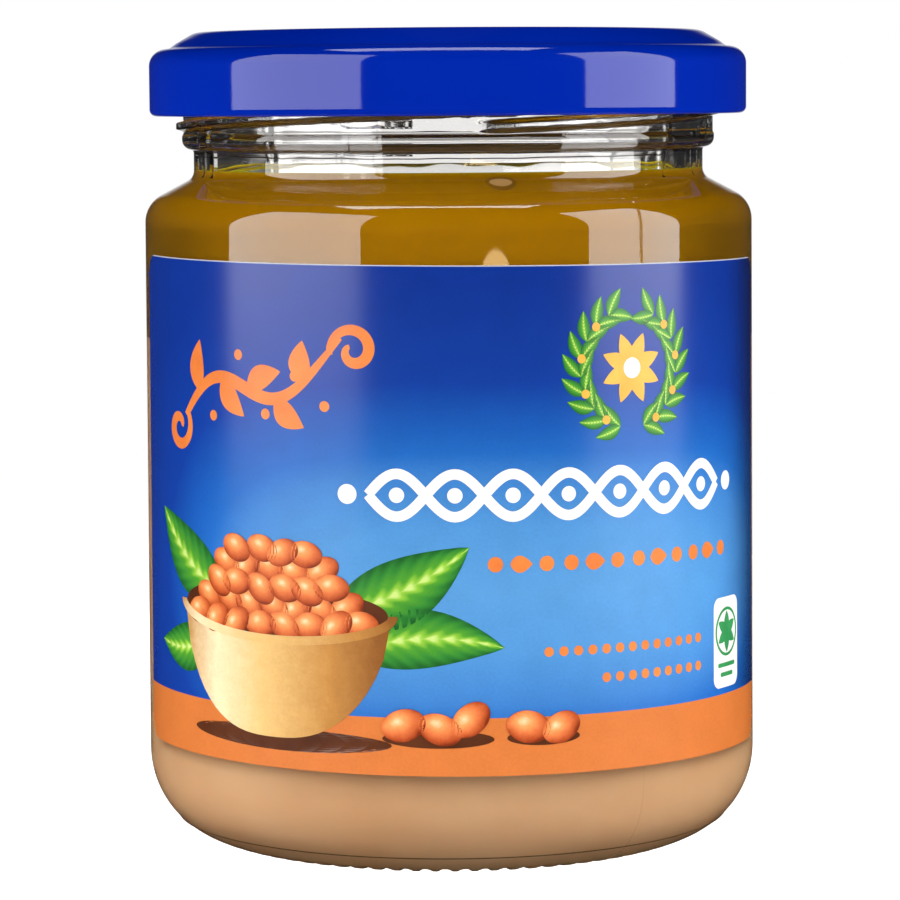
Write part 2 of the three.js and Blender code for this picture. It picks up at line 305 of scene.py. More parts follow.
# %% Thread, waves and bearing bars
THREAD_LEADS, THREAD_START, THREAD_ARC, THREAD_RUN_IN = 4, -84.0, 125.0, 9.0
THREAD_FOOT_Z, THREAD_RISE, THREAD_HEIGHT, THREAD_OUT = 82.75, 3.0, 1.2, 1.35
THREAD_TOP_Z, RIB_HALF, RIB_FLANK = 88, 0.62, 0.42
WAVY_FROM_Z, WAVY_TO_Z = 75, 91
NECK_WAVES = ((0.05, 5, 0, 0.12), (0.02, 13, 1.3, 0.3), (0.012, 31, 0, 0.4))
STREAK_SHARE, STREAK_OUT = 0.12, 0.1
BAR_TOP_Z, BAR_FROM_R, BAR_TO_R, BAR_FADE, BAR_HEIGHT = 1.1, 23.4, 30.5, 2.5, 0.3

points = points_of(glass)
radius = np.hypot(points[:, 0], points[:, 1])
azimuth = np.degrees(np.arctan2(points[:, 0], -points[:, 1]))
height = points[:, 2]
unit = points[:, :2] / np.maximum(radius, 1e-9)[:, None]

out = np.zeros(len(points))
on_finish = (radius > FINISH_R - 0.2) & (height > BEAD_TOP_Z) & (height < THREAD_TOP_Z)
for lead in range(THREAD_LEADS):
    along = (azimuth - THREAD_START - lead * 360 / THREAD_LEADS) % 360
    middle = THREAD_FOOT_Z + THREAD_HEIGHT / 2 + THREAD_RISE * along / THREAD_ARC
    fade = smooth(np.minimum(along, THREAD_ARC - along) / THREAD_RUN_IN)
    rib = smooth((THREAD_HEIGHT * RIB_HALF - np.abs(height - middle)) / RIB_FLANK)
    out = np.maximum(out, np.where(on_finish, THREAD_OUT * fade * rib, 0))

turn = np.radians(azimuth)
inside_neck = (radius < MOUTH_R + 0.3) & (height > WAVY_FROM_Z) & (height < WAVY_TO_Z)
waves = sum(size * np.sin(count * turn + shift + lean * height) for size, count, shift, lean in NECK_WAVES)
streaks = np.random.default_rng(4).random(TURNS) < STREAK_SHARE
column = np.round((azimuth % 360) / (360 / TURNS)).astype(int) % TURNS
out += np.where(inside_neck, waves + STREAK_OUT * streaks[column], 0)
points[:, :2] += unit * out[:, None]

on_ring = (height < BAR_TOP_Z) & (radius > BAR_FROM_R) & (radius < BAR_TO_R)
between_bars = column % 4 > 1
points[:, 2] += np.where(on_ring & between_bars, BAR_HEIGHT * smooth((BAR_TO_R - radius) / BAR_FADE), 0)
set_points(glass, points)
print("thread stands out by", round(float(out.max()), 2), "mm")

# %% [markdown]
# Soda-lime glass bends light by 1.52 and takes almost no colour in a thin wall. Lamps are let through by a
# Transparent shader for shadow rays alone, or the contents would lie in the dark behind the glass. Faint
# waves and the mould's parting line are bump, a tenth of a millimetre at most.

# %% Glass material
PARTING_LINE = math.radians(36.6)
PARTING_WIDTH, PARTING_TOP, PARTING_HEIGHT = 0.22 * MM, 76.0 * MM, 0.8
WAVE_SIZE, WAVE_HEIGHT, BLOWN_RELIEF = 24 * MM, 0.25, 0.1 * MM


def soda_lime_glass():
    """Clear container glass, smooth from the blow, with slow waves and one parting line."""
    material, add, shader, place = new_material(
        "soda_lime_glass", Base_Color=colour("#fefdfc"), Roughness=0.02, IOR=1.52, Transmission_Weight=1.0)
    waves = add("TexNoise", {"Vector": place, "Scale": 1 / WAVE_SIZE, "Detail": 1.5})
    split = add("SeparateXYZ", [place])
    line_side = (math.cos(PARTING_LINE), math.sin(PARTING_LINE), 0)
    across = add("VectorMath", [place, line_side], operation="DOT_PRODUCT")
    away = add("Math", [across.outputs["Value"]], operation="ABSOLUTE")
    line = add("MapRange", [away, 0, PARTING_WIDTH, 1, 0], **SOFT_STEP)
    below_neck = add("MapRange", [split.outputs["Z"], PARTING_TOP, PARTING_TOP + MM, PARTING_HEIGHT, 0])
    seam = add("Math", [line, below_neck], operation="MULTIPLY")
    height = add("Math", [waves, WAVE_HEIGHT, seam], operation="MULTIPLY_ADD")
    relief = add("Bump", {"Height": height, "Distance": BLOWN_RELIEF, "Strength": 1})
    plug(shader, {"Normal": relief})
    lamp = add("LightPath").outputs["Is Shadow Ray"]
    clear = add("BsdfTransparent", [colour("#f2f6f3")])
    plug(shader.id_data.nodes["Material Output"], [add("MixShader", [lamp, shader, clear])])
    return material


glass.data.materials.append(soda_lime_glass())
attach(glass, "root")
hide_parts("glass_jar")

# %% [markdown]
# ## The peanut butter and its oil
# Ground peanuts settle in a jar left to stand: pale tan paste below, amber oil above, up to the neck. Both
# touch the glass, so the pieces reach a hair into the wall and no air gap shows as a silvery line. They
# could be cut from a cylinder by a Boolean, but the jar's inner outline is known, so it is turned again. At
# its rim the oil creeps up the glass in a small meniscus.

# %% The contents
OIL_FOOT_Z, FILL_Z, MENISCUS_RISE = 59.0, 78.0, 0.35
INTO_WALL, CONTENT_TURNS = 0.08, 192
OIL_FOOT_SAG = ((20, OIL_FOOT_Z - 0.25), (0, OIL_FOOT_Z - 0.4))
MENISCUS = ((0.35, 0.12), (1.0, 0.02), (2.5, 0))

inside = inner_wall(INTO_WALL)
wet_wall = np.array([*inside[len(FLOOR_DROPS):], (INNER_NECK_R + INTO_WALL, 90)])


def layer(low, high):
    """The outline of what fills the jar between two heights."""
    edge = [tuple(p) for p in wet_wall if low < p[1] < high]
    at = [float(np.interp(z, wet_wall[:, 1], wet_wall[:, 0])) for z in (low, high)]
    return [(at[0], low), (at[0], low + HOLD), *edge, (at[1], high)]


butter_section = [
    *[p for p in inside if p[1] < OIL_FOOT_Z - 1],
    *[(body_radius(z) - WALL + INTO_WALL, z) for z in (40.0, OIL_FOOT_Z)],
    *OIL_FOOT_SAG,
]
oil_section = [
    *OIL_FOOT_SAG[::-1],
    *layer(OIL_FOOT_Z, FILL_Z + MENISCUS_RISE),
    *[(INNER_NECK_R - in_from_neck, FILL_Z + up) for in_from_neck, up in MENISCUS],
    (0, FILL_Z),
]
butter = turned("peanut_butter_fill", butter_section, CONTENT_TURNS)
oil = turned("peanut_oil_layer", oil_section, CONTENT_TURNS)
print("butter up to", OIL_FOOT_Z, "mm, oil up to", FILL_Z, "mm")

# %% [markdown]
# Settled paste is dull and lets a little light in, which the shader's subsurface gives. The cloudy oil
# could be a liquid with absorption, but that is slow and noisy behind glass, so it is a body colour with
# light scattered under it. Light and shade are painted into that colour by place: painted shade at the
# left and right, an even painted shade round the shoulder, and painted light low down, where the label
# shades the oil.

# %% Materials of the contents
PASTE_CLOUD, PASTE_GRAIN, PASTE_RELIEF = 14 * MM, 0.6 * MM, 0.05 * MM
OIL_CLOUD = 20 * MM
# Ranges of a value and of the oil's painted light and shade: shade by how squarely a side faces front or
# back, and, by height, shade round the shoulder and light low down.
PAINTED_SIDE_SHADE = (0.42, 1.0, 0.33, 0.79)
PAINTED_SHOULDER_SHADE, PAINTED_SHOULDER_RISE = 0.82, (71 * MM, 76 * MM, 0, 1)
PAINTED_LOW_LIGHT = (68 * MM, 75 * MM, 1.3, 0.92)


def peanut_paste():
    """Smooth ground paste: matt, pale tan, with a fine grain and light that sinks in a few millimetres."""
    material, add, shader, place = new_material(
        "settled_peanut_paste", Roughness=0.55, IOR=1.46, Subsurface_Weight=0.6, Subsurface_Scale=3.0 * MM,
        Subsurface_Radius=(1.0, 0.7, 0.45), Specular_IOR_Level=0.0)
    tone = drifting_tone(add, place, PASTE_CLOUD, "#b58c66", "#bd9873", 3)
    grain = add("TexNoise", {"Vector": place, "Scale": 1 / PASTE_GRAIN, "Detail": 2})
    relief = add("Bump", {"Height": grain, "Distance": PASTE_RELIEF, "Strength": 0.3})
    plug(shader, {"Base Color": tone, "Normal": relief})
    return material


def cloudy_peanut_oil():
    """Hazy amber oil that glows where light gets in; painted shade at the sides and shoulder, painted light
    low.
    """
    material, add, shader, place = new_material(
        "cloudy_peanut_oil", Roughness=0.3, IOR=1.47, Subsurface_Weight=0.8, Subsurface_Scale=6 * MM,
        Subsurface_Radius=(1.0, 0.9, 0.3), Specular_IOR_Level=0.0)
    tone = drifting_tone(add, place, OIL_CLOUD, "#976904", "#9f6f05")
    split = add("SeparateXYZ", [place])
    level = add("VectorMath", [place, (1, 1, 0)], operation="MULTIPLY")
    reach = add("VectorMath", [level], operation="LENGTH").outputs["Value"]
    off_middle = add("Math", [split.outputs["Y"]], operation="ABSOLUTE")
    facing = add("Math", [off_middle, reach], operation="DIVIDE")
    # Painted shade: darker where the oil's side faces left or right, and an even painted shade round the
    # shoulder.
    side = add("MapRange", [facing, *PAINTED_SIDE_SHADE], **SOFT_STEP)
    shoulder = add("MapRange", [split.outputs["Z"], *PAINTED_SHOULDER_RISE], **SOFT_STEP)
    lift = add("Mix", {0: shoulder, 2: side, 3: PAINTED_SHOULDER_SHADE}, data_type="FLOAT")
    # Painted light low down, where the label shades the oil, and painted shade higher up.
    painted_light_by_height = add("MapRange", [split.outputs["Z"], *PAINTED_LOW_LIGHT], **SOFT_STEP)
    lift = add("Math", [lift, painted_light_by_height], operation="MULTIPLY")
    plug(shader, {"Base Color": add("VectorMath", [tone, lift], operation="MULTIPLY")})
    return material


def still_oil_surface():
    """The oil's open surface: level, wet and mirror-like."""
    material, add, shader, place = new_material(
        "still_oil_surface", Roughness=0.04, IOR=1.47, Specular_IOR_Level=0.5)
    plug(shader, {"Base Color": drifting_tone(add, place, OIL_CLOUD, "#6e4c06", "#765308")})
    return material


butter.data.materials.append(peanut_paste())
oil.data.materials.append(cloudy_peanut_oil())
oil.data.materials.append(still_oil_surface())
for face in oil.data.polygons:
    if face.normal.z > 0.9 and face.center.z > (FILL_Z - 0.5) * MM:
        face.material_index = 1
print("open oil faces:", sum(face.material_index for face in oil.data.polygons))

# %% [markdown]
# One flat air bubble is caught at the glass, just under the oil's surface. It could be a real hollow, but
# only its dark rim and its paler face are seen, so it is a thin shell for each, coloured with the bubble's
# painted shade and light: a dark shell for the shade at its rim and a paler one for the light through its
# face. Each is a sphere primitive flattened and bent to the inside of the neck.

# %% The air bubble
BUBBLE_AZIMUTH, BUBBLE_Z = 11.6, 76.6


def bubble_shell(name, wide, high, deep, code):
    """A flat ellipsoid at the glass, just under the oil's surface."""
    pick()
    bpy.ops.mesh.primitive_uv_sphere_add(segments=32, ring_count=16, radius=0.5)
    shell = bpy.context.object
    shell.name = shell.data.name = name
    ball = points_of(shell) * MM
    z = BUBBLE_Z + ball[:, 2] * high
    reach = np.interp(z, wet_wall[:, 1], wet_wall[:, 0]) - ball[:, 1] * deep
    angle = math.radians(BUBBLE_AZIMUTH) + ball[:, 0] * wide / INNER_NECK_R
    set_points(shell, np.stack([reach * np.sin(angle), -reach * np.cos(angle), z], 1))
    bpy.ops.object.shade_smooth()
    material = new_material(name + "_painted_light_and_shade", Base_Color=colour(code), Roughness=0.1, IOR=1.3,
                            Specular_IOR_Level=0.3)[0]
    shell.data.materials.append(material)
    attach(shell, "root")


# Painted shade and light: the dark rim shell is the shade at the bubble's edge, the pale face shell the light
# through it.
bubble_shell("bubble_painted_shade_rim", 3.3, 2.1, 0.1, "#6e4a12")
bubble_shell("bubble_painted_light_face", 2.8, 1.45, 0.16, "#a5804e")
print("bubble at", BUBBLE_AZIMUTH, "degrees, height", BUBBLE_Z, "mm")

for piece, node in ((butter, "peanut_butter"), (oil, "peanut_oil")):
    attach(piece, "root")
    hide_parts(node)

# %% [markdown]
# ## The lid
# The lid is pressed from thin tinplate: a skirt, a round corner, a step up to the panel, and an edge curled
# inwards, with four lugs that catch the thread. It could be a cylinder with bevels, but the step and the
# curl catch the thin lines of light that make a lid look pressed, so the sheet's own section is turned.

# %% The sheet of the lid
LID_R, LID_FOOT_Z, SHEET, CURL, LID_CORNER = 34.94, 84.65, 0.25, 0.8, 2.0
SKIRT_LOW_Z, SKIRT_HIGH_Z, LID_CORNER_END = 86.5, 88.5, 84
STEP_FOOT_R, STEP_FOOT_Z, STEP_TOP_R, STEP_TOP_Z = 32.85, 92.45, 30.2, 94.0
PANEL_R, LID_TOP_Z, LID_TURNS = 29.2, 94.34, 240
BUTTON_R, BUTTON_STEP, BUTTON_DEPTH = 12.5, 1.2, 0.35
BUTTON_Z = LID_TOP_Z - BUTTON_DEPTH

lid_outside = [
    *arc(LID_R - CURL, LID_FOOT_Z + CURL, CURL, CURL, -180, 0, 18),
    (LID_R, SKIRT_LOW_Z), (LID_R, SKIRT_HIGH_Z),
    *arc(LID_R - LID_CORNER, STEP_FOOT_Z - LID_CORNER, LID_CORNER, LID_CORNER, 0, LID_CORNER_END, 18),
    (STEP_FOOT_R - 0.15, STEP_FOOT_Z + 0.02), (STEP_FOOT_R - 0.5, STEP_FOOT_Z + 0.2),
    (31.9, 93.01), (31.0, 93.54), (STEP_TOP_R, STEP_TOP_Z), (29.85, 94.18), (29.5, 94.29),
    *[(r, LID_TOP_Z) for r in (PANEL_R, 28.8, 20, BUTTON_R + BUTTON_STEP)],
    (BUTTON_R + BUTTON_STEP - 0.3, LID_TOP_Z - 0.04), (BUTTON_R + 0.3, BUTTON_Z + 0.04),
    (BUTTON_R, BUTTON_Z), (8, BUTTON_Z + 0.06), (0, BUTTON_Z + 0.12),
]
lid_inside = [
    (0, BUTTON_Z + 0.12 - SHEET), (BUTTON_R, BUTTON_Z - SHEET), (BUTTON_R + BUTTON_STEP, LID_TOP_Z - SHEET),
    (PANEL_R, LID_TOP_Z - SHEET), (STEP_TOP_R, STEP_TOP_Z - SHEET),
    (STEP_FOOT_R - 0.1, STEP_FOOT_Z - SHEET),
    *arc(LID_R - LID_CORNER, STEP_FOOT_Z - LID_CORNER, LID_CORNER - SHEET, LID_CORNER - SHEET,
         LID_CORNER_END, 0, 8),
    (LID_R - SHEET, SKIRT_HIGH_Z), (LID_R - SHEET, LID_FOOT_Z + 2 * CURL + 0.3),
    (LID_R - CURL + 0.2, LID_FOOT_Z + 2 * CURL), (LID_R - 2 * CURL + 0.1, LID_FOOT_Z + 1.4 * CURL),
]
lid = turned("lid_smooth", lid_outside + lid_inside, LID_TURNS)

# %% The lugs
LUG_INNER_R, LUG_ARC, LUG_FOOT_Z, LUG_THICKNESS = 31.75, 13.0, 84.75, 0.6
LUG_BACK, LUG_END_ROUND = 105, 0.5


def lid_lug(index):
    """A lug pinched from the curl: a block bent to the lid's round, its inner ends rounded."""
    pick()
    bpy.ops.mesh.primitive_cube_add(size=1)
    lug = bpy.context.object
    bpy.ops.object.mode_set(mode="EDIT")
    bpy.ops.mesh.subdivide(number_cuts=5)
    bpy.ops.object.mode_set(mode="OBJECT")
    share = points_of(lug) * MM
    middle = math.radians(THREAD_START + THREAD_ARC - LUG_BACK + index * 360 / THREAD_LEADS)
    angle = middle + share[:, 0] * math.radians(LUG_ARC)
    depth = 0.5 - share[:, 1]
    reach = LUG_INNER_R + depth * (LID_R - CURL - LUG_INNER_R)
    reach += (np.abs(share[:, 0]) * 2) ** 4 * LUG_END_ROUND * (1 - depth)
    z = LUG_FOOT_Z + (share[:, 2] + 0.5) * LUG_THICKNESS
    set_points(lug, np.stack([reach * np.sin(angle), -reach * np.cos(angle), z], 1))
    return lug


pick(lid, *[lid_lug(i) for i in range(THREAD_LEADS)])
bpy.ops.object.join()
bpy.ops.object.shade_smooth_by_angle(angle=SMOOTH_ANGLE)
print("lid points:", len(lid.data.vertices))

# %% [markdown]
# Outside, the lid is coated with blue lacquer and baked: a saturated colour under a hard gloss. The
# shader's coat is that gloss, with its own slight orange peel. Inside is a clear golden lacquer that keeps
# food off the steel. They could be two objects; here each face takes one by where it lies.

# %% Lacquers of the lid
LACQUER_DRIFT, PEEL_SIZE, PEEL_RELIEF = 30 * MM, 1.6 * MM, 0.01 * MM
STAIN_SIZE = 6 * MM


def stoving_lacquer():
    """Blue lacquer baked on tinplate: a saturated colour under a hard gloss, a trace of orange peel."""
    material, add, shader, place = new_material(
        "blue_stoving_lacquer", Roughness=0.45, IOR=1.5, Coat_Weight=0.62, Coat_Roughness=0.06,
        Coat_IOR=1.5, Specular_IOR_Level=0.0)
    tone = drifting_tone(add, place, LACQUER_DRIFT, "#00229c", "#0128a8", 1)
    peel = add("TexNoise", {"Vector": place, "Scale": 1 / PEEL_SIZE, "Detail": 2})
    relief = add("Bump", {"Height": peel, "Distance": PEEL_RELIEF, "Strength": 0.25})
    plug(shader, {"Base Color": tone, "Normal": relief, "Coat Normal": relief})
    return material


def inside_lacquer():
    """The clear golden lacquer that keeps food off the steel inside a lid."""
    material, add, shader, place = new_material(
        "gold_inside_lacquer", Roughness=0.35, IOR=1.5, Metallic=0.3)
    plug(shader, {"Base Color": drifting_tone(add, place, STAIN_SIZE, "#a58a5e", "#b89a6a")})
    return material


lid.data.materials.append(stoving_lacquer())
lid.data.materials.append(inside_lacquer())
for face in lid.data.polygons:
    outward = face.normal.xy.dot(face.center.xy.normalized()) if face.center.xy.length > MM else 0
    under_panel = face.normal.z < -0.3 and face.center.z > STEP_FOOT_Z * MM - LID_CORNER * MM
    behind_skirt = outward < -0.5 and face.center.z > (LID_FOOT_Z + 2 * CURL) * MM
    face.material_index = 1 if under_panel or behind_skirt else 0
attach(lid, "root")
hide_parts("lid")
print("gold faces:", sum(face.material_index for face in lid.data.polygons))

# %% [markdown]
# ## The paper label
# The label is coated paper with rounded corners, glued to the front a trace askew. A Shrinkwrap modifier
# could press it to the glass; here a flat grid is cut to its outline, laid round the glass by turning
# millimetres along the paper into an angle, and given the paper's thickness.

# %% Laying paper round the jar
LABEL_W, LABEL_H, LABEL_CORNER, LABEL_FOOT_Z = 96.4, 56.1, 2.6, 12.38
LABEL_SHIFT, LABEL_SKEW = 0.9, -0.008
PAPER, GLUE, INK = 0.08, 0.03, 0.015
BAND_H, MARGIN = 6.45, 0.1
CORNER_STEPS = (10, 25, 40, 52, 64, 76, 85)


def lay_round(piece):
    """Takes a flat piece in mm, x along the label, y up it and z over it, round the glass."""
    flat = points_of(piece)
    z = LABEL_FOOT_Z + flat[:, 1] + LABEL_SKEW * flat[:, 0]
    r = body_radius(z) + GLUE + PAPER + flat[:, 2]
    angle = (flat[:, 0] + LABEL_SHIFT) / BODY_R
    set_points(piece, np.stack([r * np.sin(angle), -r * np.cos(angle), z], 1))


def grid(name, columns, rows):
    """A flat grid primitive, and each of its points as shares of its width and height."""
    pick()
    bpy.ops.mesh.primitive_grid_add(x_subdivisions=columns, y_subdivisions=rows, size=1)
    piece = bpy.context.object
    piece.name = piece.data.name = name
    share = points_of(piece) * MM + (0.5, 0.5, 0)
    return piece, share


def thicken(piece, thickness):
    """Gives a laid sheet its thickness, towards the glass."""
    pick(piece)
    wall = piece.modifiers.new("thickness", "SOLIDIFY")
    wall.thickness = thickness * MM
    wall.offset = -1
    bpy.ops.object.modifier_apply(modifier=wall.name)


def label_outline(x):
    """Half the label's height at a place along it, drawn in at the rounded corners."""
    past = np.maximum(0, np.abs(x) - (LABEL_W / 2 - LABEL_CORNER))
    return LABEL_H / 2 - (LABEL_CORNER - np.sqrt(np.maximum(0, LABEL_CORNER**2 - past**2)))


corner_x = [LABEL_W / 2 - LABEL_CORNER * (1 - math.sin(math.radians(a))) for a in CORNER_STEPS]
edge_x = [LABEL_W / 2 - LABEL_CORNER, *corner_x, LABEL_W / 2 - MARGIN * 0.3, LABEL_W / 2]
middle_x = list(np.linspace(-edge_x[0], edge_x[0], 92))
label_x = np.array([-x for x in edge_x[:0:-1]] + middle_x + edge_x[1:])
label_y = np.array([0, MARGIN, 2.2, 4.3, BAND_H, *np.linspace(BAND_H + 3, LABEL_H - 4, 15),
                    LABEL_H - MARGIN, LABEL_H])

last = len(label_y) - 1
paper, share = grid("label_paper", len(label_x) - 1, last)
x = label_x[np.round(share[:, 0] * (len(label_x) - 1)).astype(int)]
row = np.round(share[:, 1] * last).astype(int)
half = label_outline(x)
y = LABEL_H / 2 + np.clip(label_y[row] - LABEL_H / 2, -half, half)
for edge_row, up in ((0, -half), (1, MARGIN - half), (last, half), (last - 1, half - MARGIN)):
    y = np.where(row == edge_row, LABEL_H / 2 + up, y)
set_points(paper, np.stack([x, y, np.zeros(len(x))], 1))
print("label is", LABEL_W, "by", LABEL_H, "mm, with", len(x), "points")

# %% [markdown]
# The print reads its place from a UV map that is set while the paper is still flat. An image texture would
# use the same map, but this print is built from soft fields of colour: a sky blue glow in a deep blue
# ground, an orange band along the foot, and a hair of bare paper at the trim.

# %% The printed ground
GLOW, GLOW_RADII = (8.0, 20.5), (47.0, 21.0)
GLOW_REACH = 1.6
# Tone of the ground against millimetres from the middle: painted light towards both ends, then painted shade
# at its right end.
PAINTED_END_LIGHT, PAINTED_RIGHT_END_SHADE = (12.0, 34.0, 0.85, 0.93), (36.0, 47.5, 1.0, 0.35)
SCREEN_SIZE, PATCH_SIZE, PRINT_RELIEF = 0.35, 3.5, 0.02 * MM
BAND_EDGE, TRIM_EDGE = (BAND_H - 0.02, BAND_H + 0.02), (LABEL_H - MARGIN - 0.05, LABEL_H - MARGIN + 0.05)


def sheet_uv(piece):
    """Adds a UV map named sheet that holds each point's place on the flat label."""
    flat = points_of(piece)
    corner = np.empty(len(piece.data.loops), dtype=np.int32)
    piece.data.loops.foreach_get("vertex_index", corner)
    uv = np.stack([flat[corner, 0] / LABEL_W + 0.5, flat[corner, 1] / LABEL_H], 1)
    piece.data.uv_layers.new(name="sheet").data.foreach_set("uv", uv.astype(np.float32).ravel())


def printed_sheet(name, gloss):
    """A printed finish, and its place in millimetres across the label from its middle and up it."""
    material, add, shader, flat = new_material(
        name, "sheet", Roughness=0.22, IOR=1.5, Specular_IOR_Level=gloss)
    place = add("Mapping", {"Vector": flat, "Location": (-LABEL_W / 2, 0, 0),
                            "Scale": (LABEL_W, LABEL_H, 1)})
    return material, add, shader, place


def varnish(add, shader, place, tone, mottle=0.08):
    """The print screen's fine mottle in the tone, and a satin varnish that follows the paper."""
    screen = add("TexNoise", {"Vector": place, "Scale": 1 / SCREEN_SIZE, "Detail": 2})
    patches = add("TexNoise", {"Vector": place, "Scale": 1 / PATCH_SIZE, "Detail": 2})
    both = add("Math", [screen, patches], operation="ADD")
    grey = add("MapRange", [both, 0.6, 1.4, 1 - mottle, 1 + mottle])
    mottled = add("VectorMath", [tone, grey], operation="MULTIPLY")
    relief = add("Bump", {"Height": patches, "Distance": PRINT_RELIEF, "Strength": 0.25})
    plug(shader, {"Base Color": mottled, "Normal": relief})


def printed_ground():
    """Offset print on coated paper: deep blue with a sky blue glow, an orange band and the bare trim."""
    material, add, shader, place = printed_sheet("varnished_offset_print", 0.4)
    split = add("SeparateXYZ", [place])
    (glow_x, glow_y), (wide, high) = GLOW, GLOW_RADII
    from_glow = add("Mapping", {
        "Vector": place, "Location": (-glow_x / wide, -glow_y / high, 0), "Scale": (1 / wide, 1 / high, 0)})
    bowed = add("SeparateXYZ", [from_glow])
    flatter = add("Math", [bowed, bowed], operation="MULTIPLY")
    oval = add("CombineXYZ", [flatter, bowed.outputs["Y"]])
    far = add("VectorMath", [oval], operation="LENGTH").outputs["Value"]
    share = add("MapRange", {"Value": far, "From Max": GLOW_REACH})
    ground = add("ValToRGB", [share], [
        (0.0, "#5b9edb"), (0.2, "#5398d8"), (0.36, "#3f83cd"), (0.45, "#1f69c1"), (0.52, "#175db8"),
        (0.68, "#0d3d9f"), (1.0, "#0b3394")])
    to_end = add("Math", [split], operation="ABSOLUTE")
    # Painted light towards both ends of the label, then painted shade at its right end.
    for along, tones in ((to_end, PAINTED_END_LIGHT), (split, PAINTED_RIGHT_END_SHADE)):
        shade = add("MapRange", [along, *tones], **SOFT_STEP)
        ground = add("VectorMath", [ground, shade], operation="MULTIPLY")
    over_band = add("MapRange", [split.outputs["Y"], *BAND_EDGE])
    tone = add("Mix", {0: over_band, 6: colour("#cf7334"), 7: ground}, data_type="RGBA")
    at_trim = add("MapRange", [split.outputs["Y"], *TRIM_EDGE])
    tone = add("Mix", {0: at_trim, 6: tone.outputs[2], 7: colour("#c9ccd6")}, data_type="RGBA")
    varnish(add, shader, place, tone.outputs[2], 0.07)
    return material


sheet_uv(paper)
lay_round(paper)
thicken(paper, PAPER)
pick(paper)
bpy.ops.object.shade_smooth_by_angle(angle=SMOOTH_ANGLE)
paper.data.materials.append(printed_ground())
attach(paper, "root")
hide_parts("label")
print("label points with its thickness:", len(paper.data.vertices))

# %% [markdown]
# ## The printed picture
# The label carries a generic kitchen print in a few flat inks: a plait and a row of beads, a leafy wreath,
# a flourish, a bowl of kernels with leaves, and a small medallion. A printer lays one ink at a time, and so
# do these cells: each ink is a handful of flat patches, joined, laid round the jar and given a hair of
# thickness. A patch is a grid primitive whose points are moved by a rule, so its own UV map still runs from
# edge to edge and can shade it.

# %% Rules for flat shapes
def turned_by(x, y, degrees):
    """A place turned about the middle."""
    a = math.radians(degrees)
    return x * math.cos(a) - y * math.sin(a), x * math.sin(a) + y * math.cos(a)


def disc(cx, cy, rx, ry=None, turn=0, steps=10):
    """An ellipse."""
    def shape(u, v):
        x, y = turned_by(rx * u * np.sqrt(1 - v * v / 2), (ry or rx) * v * np.sqrt(1 - u * u / 2), turn)
        return cx + x, cy + y
    return steps, steps, shape


def leaf(cx, cy, heading, length, width, bend=0.0):
    """A pointed leaf that starts at a place and bows to one side."""
    def shape(u, v):
        t = (u + 1) / 2
        half_width = width / 2 * np.sin(math.pi * t**0.8) ** 0.85
        x, y = turned_by(length * t, half_width * v + bend * length * (t - t * t) * 4, heading)
        return cx + x, cy + y
    return 18, 6, shape


def stroke(path, width, steps=40):
    """A ribbon along a path, with a width for each share of its length."""
    def shape(u, v):
        t = (u + 1) / 2
        x, y = path(t)
        ahead_x, ahead_y = path(t + 0.001)
        back_x, back_y = path(t - 0.001)
        run = np.hypot(ahead_x - back_x, ahead_y - back_y)
        w = width(t) / 2
        return x - v * w * (ahead_y - back_y) / run, y + v * w * (ahead_x - back_x) / run
    return steps, 2, shape


def spiral(cx, cy, start_r, end_r, start, sweep):
    """A path that winds from one radius to another; degrees, with a positive sweep turning left."""
    def path(t):
        a = np.radians(start + sweep * t)
        r = start_r + (end_r - start_r) * t
        return cx + r * np.cos(a), cy + r * np.sin(a)
    return path


def taper(thick, thin):
    """A width that swells soon after the start and thins towards the end."""
    return lambda t: thin + (thick - thin) * np.sin(math.pi * np.clip(0.08 + 0.92 * t, 0, 1)) ** 0.7


def even(width):
    """One width all along."""
    return lambda t: width + 0 * t


def plate(cx, cy, wide, high, corner):
    """A rectangle with rounded corners."""
    def shape(u, v):
        x = wide / 2 * np.sin(u * math.pi / 2)
        past = np.maximum(0, np.abs(x) - (wide / 2 - corner))
        half_high = high / 2 - corner + np.sqrt(np.maximum(0, corner**2 - past**2))
        return cx + x, cy + v * half_high
    return 20, 6, shape


# %% Laying one ink
INK_COVER = 0.8


def printed(name, shapes, layer_number, material):
    """Lays one ink's patches on the label; a higher layer lies on a lower one."""
    patches = []
    for columns, rows, shape in shapes:
        patch, share = grid(name, columns, rows)
        x, y = shape(share[:, 0] * 2 - 1, share[:, 1] * 2 - 1)
        set_points(patch, np.stack([x, y, np.full(len(x), layer_number * INK)], 1))
        patches.append(patch)
    pick(*patches)
    if len(patches) > 1:
        bpy.ops.object.join()
    ink = patches[0]
    sheet_uv(ink)
    lay_round(ink)
    thicken(ink, INK * INK_COVER)
    ink.data.materials.append(material)
    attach(ink, "root")


# %% [markdown]
# Flat inks are one colour with a slight drift. The inks for kernels, leaves and the bowl are shaded, as a
# picture in dots of several inks would be: each reads the patch's own UV map for how far a point lies from
# the bright spot, the midrib or the lit side, and a ramp turns that into colour.

# %% Mixing the inks
INK_GLOSS, INK_DRIFT = 0.34, 6
KERNEL_LIT, KERNEL_GRAIN = (0.38, 0.66, 0), 0.8
VEINS, VEIN_SLANT, VEIN_DEPTH = 9, -0.45, 0.035
BOWL_GRAIN = 1.2


def flat_ink(name, low_code, high_code):
    """An ink of one colour that drifts a little over the sheet."""
    material, add, shader, place = printed_sheet(name, INK_GLOSS)
    tone = drifting_tone(add, place, INK_DRIFT, low_code, high_code, spread=0.15)
    varnish(add, shader, place, tone, 0.07)
    return material


